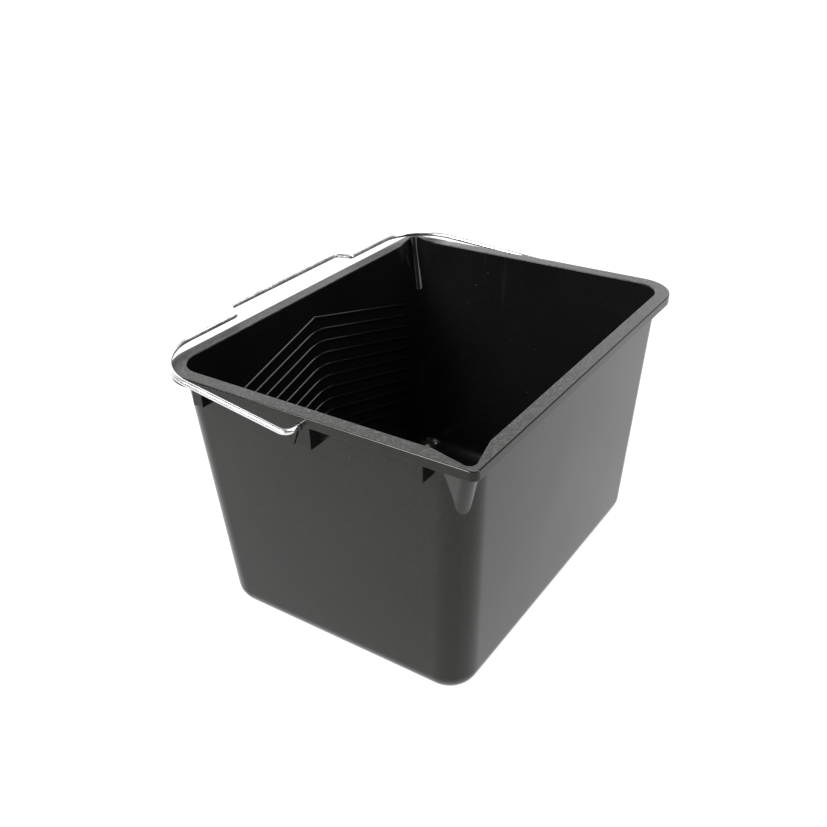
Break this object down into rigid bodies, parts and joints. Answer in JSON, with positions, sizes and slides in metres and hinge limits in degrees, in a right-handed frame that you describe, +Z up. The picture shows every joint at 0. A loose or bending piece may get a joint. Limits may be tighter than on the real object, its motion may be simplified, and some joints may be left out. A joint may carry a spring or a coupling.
{
  "type": "paint roller bucket",
  "caption": "Rectangular plastic bucket for a paint roller, with diagonal pouring spouts, wiping ribs on one inner wall and a swinging wire handle.",
  "frame": {"origin": "middle of the tub's flat underside", "axes": "+Z up through the open top, +Y along the tub's long sides, -X towards the ribbed wall, where the bail lies on the rim"},
  "size_m": [0.2983, 0.3792, 0.234],
  "materials": {
    "black_plastic": "satin, as moulded",
    "zinc_wire": "bright zinc-plated drawn wire"
  },
  "bodies": {
    "tub": {"tub": "black_plastic"},
    "bail": {"bail_handle": "zinc_wire"}
  },
  "joints": [
    {"name": "bail_pivot", "type": "hinge", "parent": "tub", "child": "bail", "pos_m": [0.002, 0, 0.2171], "axis": [0, 1, 0], "range_deg": [0, 168.5]}
  ]
}
